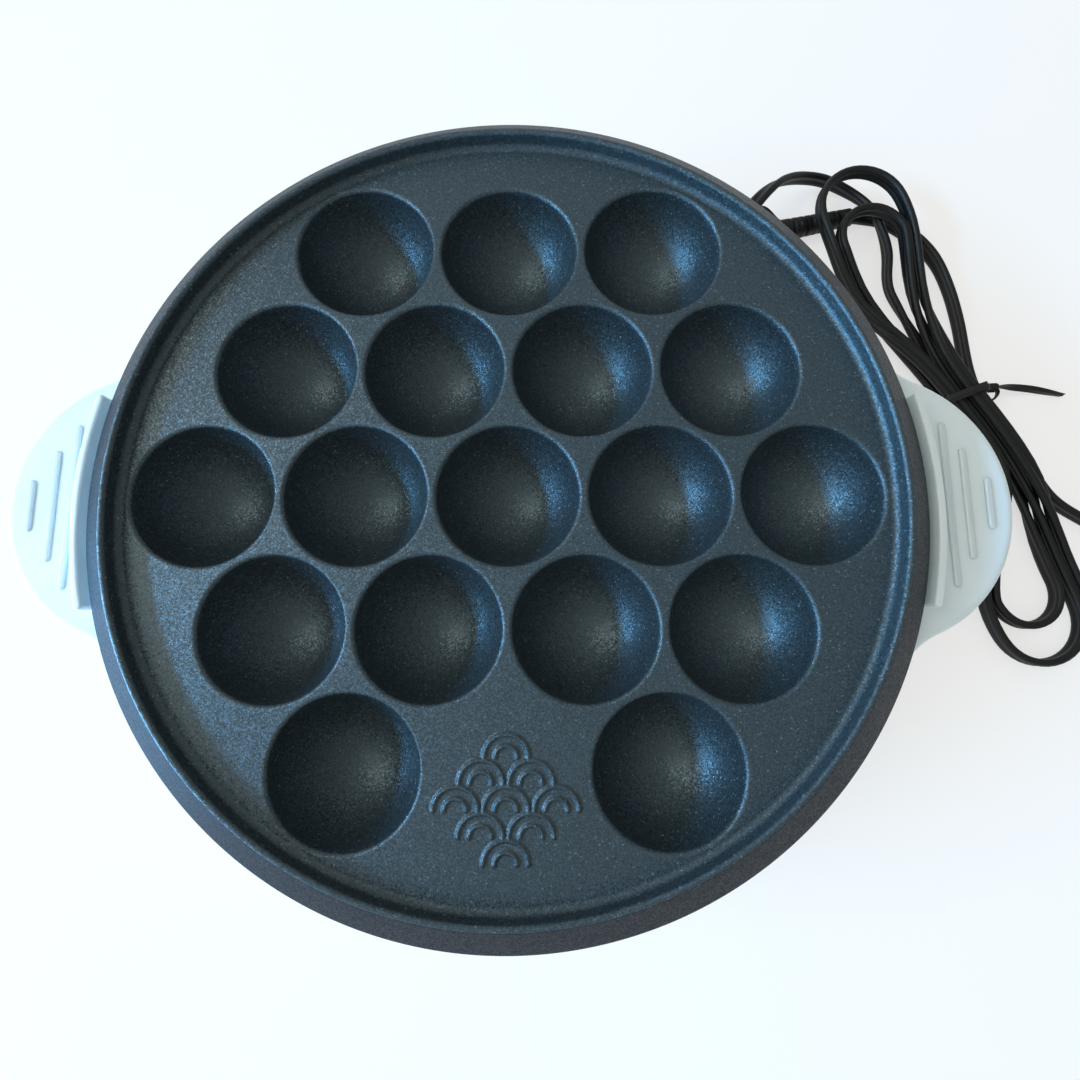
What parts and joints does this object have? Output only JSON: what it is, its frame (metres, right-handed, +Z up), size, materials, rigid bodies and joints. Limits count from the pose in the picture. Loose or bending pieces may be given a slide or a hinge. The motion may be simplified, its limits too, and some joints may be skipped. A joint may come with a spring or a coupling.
{
  "type": "takoyaki maker",
  "caption": "Round electric takoyaki cooker: a lift-off cast plate with half-round wells on a moulded base with side handles, a ring heater and a tied mains cord.",
  "frame": {"origin": "on the table under the middle of the plate, the base of the cooker's box without its cord", "axes": "+Z up, +X towards the right-hand handle, +Y to the back, where the cord leaves at the back right; the emblem is at the front"},
  "size_m": [0.4059, 0.2603, 0.069],
  "materials": {
    "nonstick": "fine speckled nonstick coating with a soft satin sheen",
    "white_plastic": "white moulded heat-proof plastic, satin gloss",
    "screw_steel": "zinc-plated steel",
    "pan_steel": "pressed aluminised sheet, bright",
    "cover_steel": "grey painted steel sheet",
    "heater_sheath": "heat-tinted steel sheath",
    "ceramic": "glazed off-white insulating body",
    "thermostat_black": "dark phenolic body",
    "rubber_grey": "dark grey rubber",
    "wire_white": "white heat-proof sleeve",
    "wire_grey": "dark grey heat-proof sleeve",
    "cord_black": "black flexible cord cover, soft sheen",
    "tie_black": "thin black wire tie",
    "blade_metal": "nickel-coloured brass blades"
  },
  "bodies": {
    "base": {"base_shell": "white_plastic", "handle_left": "white_plastic", "handle_right": "white_plastic", "handle_screws": "screw_steel", "reflector_pan": "pan_steel", "pan_screws": "screw_steel", "heater": "heater_sheath", "heater_pins": "ceramic", "heater_clips": "screw_steel", "thermostat": "thermostat_black", "thermostat_bracket": "screw_steel", "thermal_fuse": "ceramic", "fuse_clip": "screw_steel", "grommet": "rubber_grey", "terminal_block": "ceramic", "wire_fuse": "wire_white", "wire_thermostat": "wire_white", "wire_heater_live": "wire_white", "wire_heater_neutral": "wire_grey", "bottom_cover": "cover_steel", "foot_front_left": "rubber_grey", "foot_front_right": "rubber_grey", "foot_back_left": "rubber_grey", "foot_back_right": "rubber_grey", "foot_screws": "screw_steel", "cord_boot": "cord_black", "cord_inner": "cord_black", "cord_clamp": "ceramic", "clamp_screws": "screw_steel", "cord_lead": "cord_black", "cord_hank": "cord_black", "cord_tail": "cord_black", "cord_tie": "tie_black", "plug_body": "cord_black", "plug_pins": "blade_metal"},
    "plate": {"plate": "nonstick"}
  },
  "joints": [
    {"name": "plate_lift", "type": "slide", "parent": "base", "child": "plate", "axis": [0, 0, 1], "range_m": [0, 0.06]}
  ]
}
